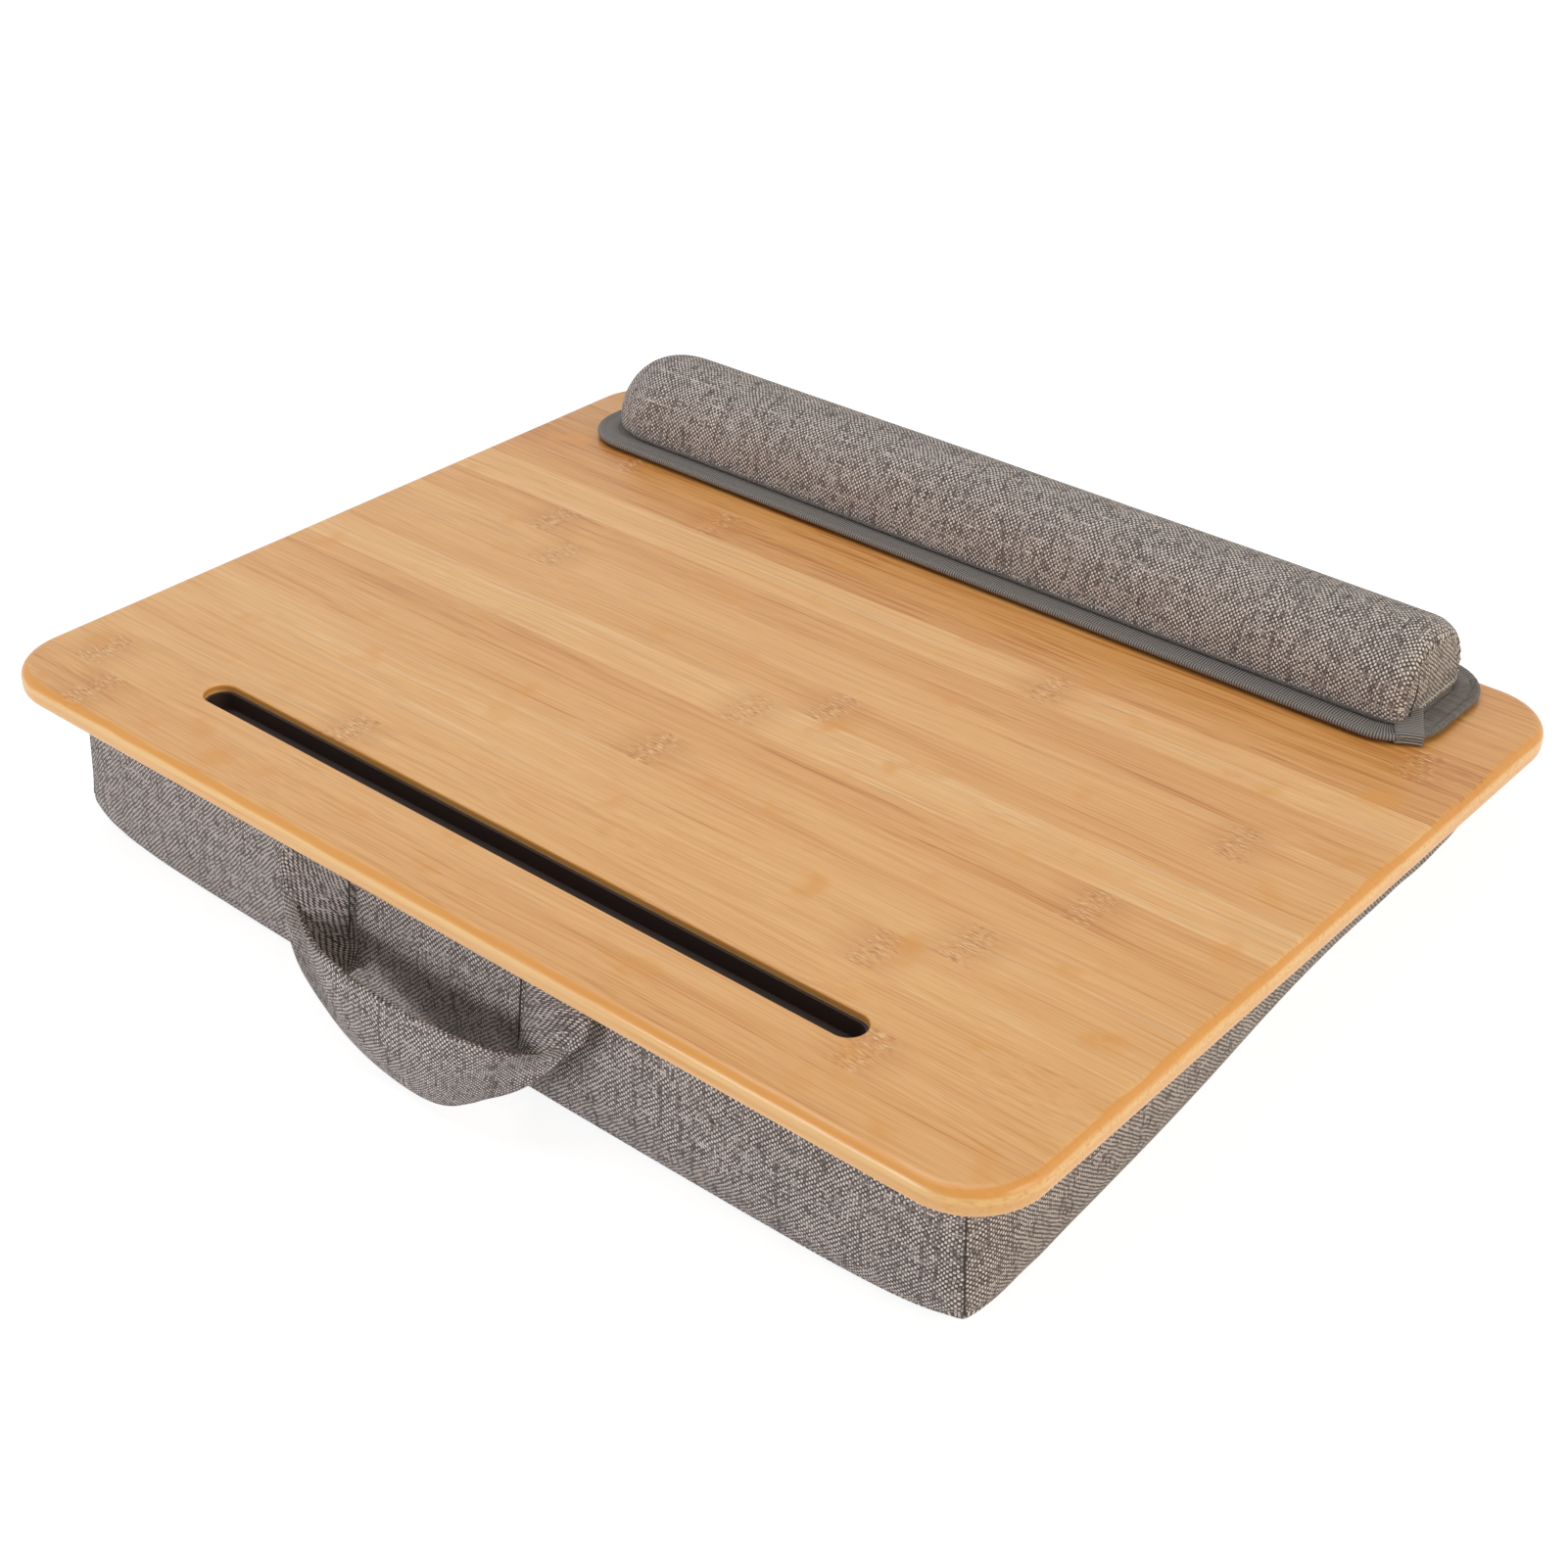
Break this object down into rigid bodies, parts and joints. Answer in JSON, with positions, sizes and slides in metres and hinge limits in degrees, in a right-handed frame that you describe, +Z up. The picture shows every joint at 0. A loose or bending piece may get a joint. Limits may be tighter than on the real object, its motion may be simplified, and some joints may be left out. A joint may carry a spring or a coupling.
{
  "type": "lap tray with cushion",
  "caption": "Bamboo lap tray on a wedge-shaped cloth cushion, with a slot for a device, a cloth carrying handle and a removable padded wrist rest.",
  "frame": {"origin": "centre of the cushion's flat underside, where the tray stands", "axes": "+Z up, +X along the board's width, -Y the side with the device slot and the handle, +Y the side with the wrist rest; the board slopes down 5 degrees towards +Y"},
  "size_m": [0.45, 0.3655, 0.0799],
  "materials": {
    "bamboo": "satin lacquered laminated bamboo",
    "liner_black": "moulded, matt black",
    "hardboard": "smooth hardboard",
    "screw_steel": "zinc plated",
    "cover_cloth": "heather grey linen-look weave",
    "foam": "open-cell foam",
    "base_mesh": "fine grey mesh",
    "binding_tape": "ribbed grey binding tape",
    "hook_tape": "black hook and loop tape"
  },
  "bodies": {
    "desk": {"tray_board": "bamboo", "slot_liner": "liner_black", "backing_panel": "hardboard", "backing_screws": "screw_steel", "cushion_top_cloth": "cover_cloth", "cushion_front_panel": "cover_cloth", "cushion_right_panel": "cover_cloth", "cushion_back_panel": "cover_cloth", "cushion_left_panel": "cover_cloth", "cushion_bottom_panel": "cover_cloth", "cushion_foam": "foam", "handle_end_right": "cover_cloth", "handle_end_left": "cover_cloth", "rest_hook_strips": "hook_tape"},
    "handle": {"handle_strap": "cover_cloth"},
    "wrist_rest": {"rest_loop_strips": "hook_tape", "rest_base_cloth": "base_mesh", "rest_binding": "binding_tape", "rest_binding_tab": "binding_tape", "rest_cover": "cover_cloth", "rest_foam": "foam"}
  },
  "joints": [
    {"name": "handle_swing", "type": "hinge", "parent": "desk", "child": "handle", "pos_m": [-0.004, -0.15515, 0.05992], "axis": [-1, 0, 0], "range_deg": [0, 25]},
    {"name": "wrist_rest_lift", "type": "slide", "parent": "desk", "child": "wrist_rest", "axis": [0, 0.0872, 0.9962], "range_m": [0, 0.04]}
  ]
}
